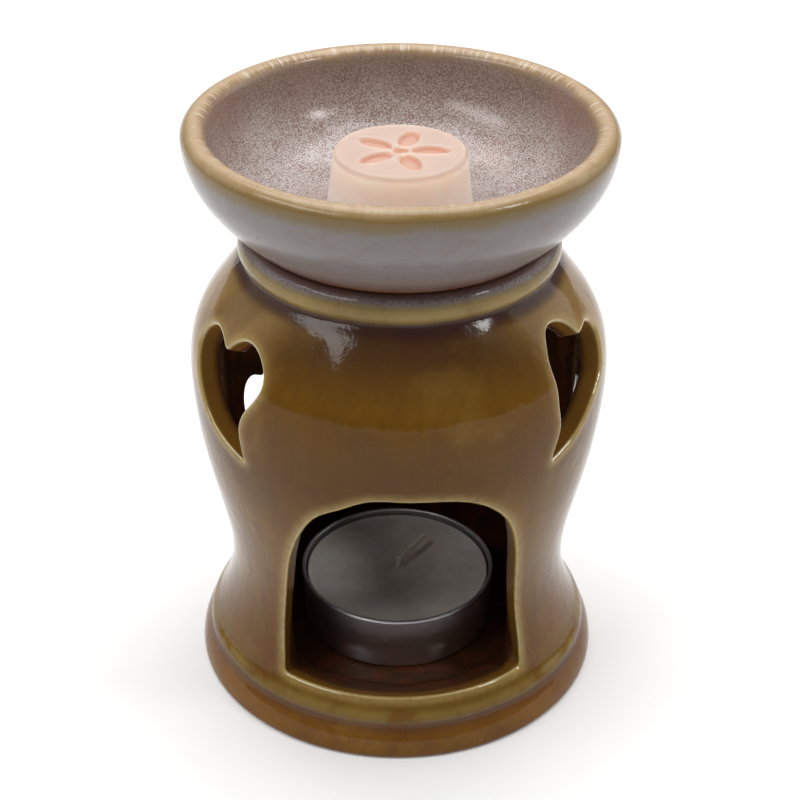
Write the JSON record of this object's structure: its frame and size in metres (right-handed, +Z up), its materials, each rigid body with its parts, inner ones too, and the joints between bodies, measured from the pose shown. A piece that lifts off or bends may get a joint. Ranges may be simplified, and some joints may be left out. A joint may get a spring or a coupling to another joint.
{
  "type": "essential oil burner",
  "caption": "Waisted glazed ceramic oil burner with an arch mouth for a tealight, heart cut-outs and a lift-off speckled dish holding a wax melt.",
  "frame": {"origin": "centre of the foot on the table plane", "axes": "+Z up the pot's axis, the arch mouth faces -Y, +X to the right when facing the mouth"},
  "size_m": [0.078, 0.078, 0.111],
  "materials": {
    "amber_glaze": "glossy amber brown glaze, olive yellow where it thins on edges",
    "speckled_glaze": "glossy mottled lavender grey glaze with fine speckle",
    "cup_aluminium": "drawn satin",
    "candle_wax": "satin paraffin wax",
    "wick_cotton": "waxed cotton",
    "tinplate": "bare tinplate",
    "scented_wax": "soft peach wax"
  },
  "bodies": {
    "stand": {"burner_stand": "amber_glaze"},
    "dish": {"oil_dish": "speckled_glaze"},
    "melt": {"wax_melt": "scented_wax"},
    "tealight": {"tealight_cup": "cup_aluminium", "tealight_wax": "candle_wax", "wick": "wick_cotton", "wick_sustainer": "tinplate"}
  },
  "joints": [
    {"name": "dish_lift", "type": "slide", "parent": "stand", "child": "dish", "axis": [0, 0, 1], "range_m": [0, 0.05]},
    {"name": "wax_melt_lift", "type": "slide", "parent": "dish", "child": "melt", "axis": [0, 0, 1], "range_m": [0, 0.03]},
    {"name": "tealight_slide", "type": "slide", "parent": "stand", "child": "tealight", "axis": [0, -0.8572, 0.515], "range_m": [0, 0.07]}
  ]
}
